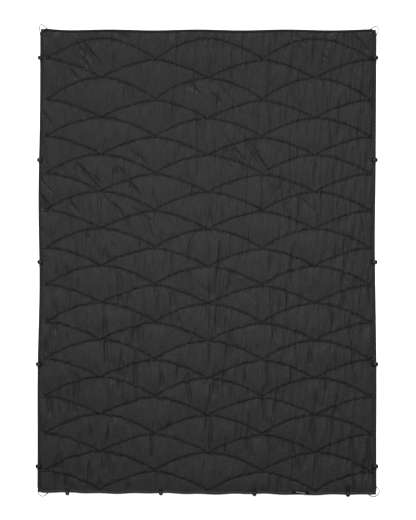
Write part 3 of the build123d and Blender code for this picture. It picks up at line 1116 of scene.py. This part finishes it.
# %% Bar tacks
TACK_STITCHES = 17
TACK_WIDTH = 0.0142
tack_grain = grain_mesh(0.0026, 0.0011, 0.0008)
tack_top = RIBBON_LOW + RIBBON_LAYER + RIBBON_THICKNESS
tack_places, tack_headings = [], []
for tab in tabs:
    for number in range(TACK_STITCHES):
        across = TACK_WIDTH * (number / (TACK_STITCHES - 1) - 0.5)
        lean = 0.25 if number % 2 else -0.25
        tack_places.append(tab.at(0.0010, across, tack_top))
        tack_headings.append(math.atan2(tab.outward.y, tab.outward.x) + lean)
stitch_piece("tab_bar_tacks", tack_grain, np.array(tack_places), np.array(tack_headings))

# %% [markdown]
# ## Press studs
# A snap has three moulded pieces. The cap sits under the ribbon and pushes a prong through it,
# and on top a socket or a stud is riveted to the prong. All are round, so each is one profile
# spun about the snap's middle, with its corners rounded in the profile.


# %% Spin the snap pieces
def soften(profile, radius):
    """Cut each corner of a profile twice, so that the spun piece has no sharp rim."""
    soft = [profile[0]]
    for before, corner, after in zip(profile, profile[1:], profile[2:]):
        before, corner, after = Vector(before), Vector(corner), Vector(after)
        cut_in = min(radius, (corner - before).length * 0.45)
        cut_out = min(radius, (after - corner).length * 0.45)
        first = corner + (before - corner).normalized() * cut_in
        last = corner + (after - corner).normalized() * cut_out
        soft += [tuple(first), tuple((first + last) / 4 + corner / 2), tuple(last)]
    return soft + [profile[-1]]


SNAP_TOP_Z = RIBBON_LOW + RIBBON_STEP_UP + 0.0012
CAP_PROFILE = soften([(0, -0.0027), (0.0046, -0.0027), (0.0056, -0.0023), (0.0062, -0.0018),
                      (0.0062, -0.0012), (0.0017, -0.0012), (0.0017, 0.0010),
                      (0.0025, 0.0010), (0.0024, 0.0014), (0, 0.0014)], 0.0003)
SOCKET_PROFILE = soften([(0.0018, 0), (0.0053, 0), (0.0053, 0.0022), (0.0045, 0.0030),
                         (0.0038, 0.0030), (0.0034, 0.0026), (0.0036, 0.0018),
                         (0.0034, 0.0010), (0.0018, 0.0010), (0.0018, 0)], 0.00025)
STUD_PROFILE = soften([(0.0018, 0), (0.0053, 0), (0.0053, 0.0007), (0.0047, 0.0010),
                       (0.0031, 0.0011), (0.0030, 0.0019), (0.0033, 0.0024),
                       (0.0031, 0.0030), (0.0027, 0.0030), (0.0026, 0.0027),
                       (0.0026, 0.0010), (0.0018, 0.0010), (0.0018, 0)], 0.0002)
SPIN_STEPS = 28


def spun_piece(name, tab, profile, node):
    """One round piece of a snap, spun about the snap's middle."""
    form = bmesh.new()
    centre = tab.at(tab.snap_at, 0, SNAP_TOP_Z)
    line = [form.verts.new(centre + Vector((radius, 0, height))) for radius, height in profile]
    edges = [form.edges.new(pair) for pair in zip(line, line[1:])]
    bmesh.ops.spin(form, geom=line + edges, cent=centre, axis=UP, dvec=(0, 0, 0),
                   angle=2 * math.pi, steps=SPIN_STEPS, use_merge=True)
    bmesh.ops.remove_doubles(form, verts=form.verts[:], dist=1e-6)
    bmesh.ops.recalc_face_normals(form, faces=form.faces[:])
    return new_piece(name, form, snap_plastic, tab.body, [node])


for tab in tabs:
    spun_piece(f"cap_{tab.place}", tab, CAP_PROFILE, f"snap_cap_{tab.place}")
    profile = SOCKET_PROFILE if tab.half == "socket" else STUD_PROFILE
    spun_piece(f"{tab.half}_{tab.place}", tab, profile, f"snap_{tab.half}_{tab.place}")
print(2 * len(tabs), "snap pieces spun")

# %% [markdown]
# ## Woven label
# A satin label is sewn over the foot binding, a little askew, with one plain pale stripe woven
# into it. It is a thin sheet from a grid that follows the binding and drops over the edge.

# %% Weave and sew the label
LABEL_LENGTH, LABEL_WIDTH = 0.068, 0.0125
LABEL_TILT = math.radians(-6)
LABEL_Z = 0.0060
LABEL_THICKNESS = 0.0006
label_middle = (label_low + label_high) / 2
label_middle.y += 0.0022
STRIPE_FROM, STRIPE_TO, STRIPE_HALF_WIDTH = -0.0195, 0.0170, 0.0021
STRIPE_LIGHTER = 30.0


def label_finish():
    """Black satin with one plain pale stripe woven in along its middle."""
    satin = Finish("label_satin", (0.004, 0.004, 0.0043), 0.55, Specular_IOR_Level=0.08)
    u, v = satin.marked("label_u"), satin.marked("label_v")
    across = satin.math("LESS_THAN", satin.math("ABSOLUTE", v), STRIPE_HALF_WIDTH)
    along = (satin.math("GREATER_THAN", u, STRIPE_FROM) * satin.math("LESS_THAN", u, STRIPE_TO))
    float_yarns = satin.waves(2 * math.pi / 0.0012 / 20, "X")
    satin.shade(1.0 + across * along * STRIPE_LIGHTER * (0.8 + float_yarns * 0.4))
    satin.bump(float_yarns, 0.00012)
    return satin.material


label_cloth = label_finish()
label_mesh, label_points, _ = grid_mesh("woven_label_cloth", 40, 8)
label_u = label_points[:, 0] * LABEL_LENGTH / 2
label_v = label_points[:, 1] * LABEL_WIDTH / 2
label_points[:, 0] = label_middle.x + label_u * math.cos(LABEL_TILT) - label_v * math.sin(LABEL_TILT)
label_points[:, 1] = label_middle.y + label_u * math.sin(LABEL_TILT) + label_v * math.cos(LABEL_TILT)
label_inset = HALF_LENGTH + label_points[:, 1]
droop = np.clip(0.003 - label_inset, 0, None)
label_points[:, 2] = (LABEL_Z + 0.0001 * np.sin(label_u * 420) - droop ** 2 * 40)
mark_points(label_mesh, "label_u", label_u)
mark_points(label_mesh, "label_v", label_v)
label_shift = settle_outline(np.array([[*label_middle]]))[0] - np.array(label_middle)
write_points(label_mesh, label_points + label_shift)
label = finish_piece("woven_label_cloth", label_mesh, label_cloth, nodes=["woven_label"])
thicken(label, LABEL_THICKNESS)
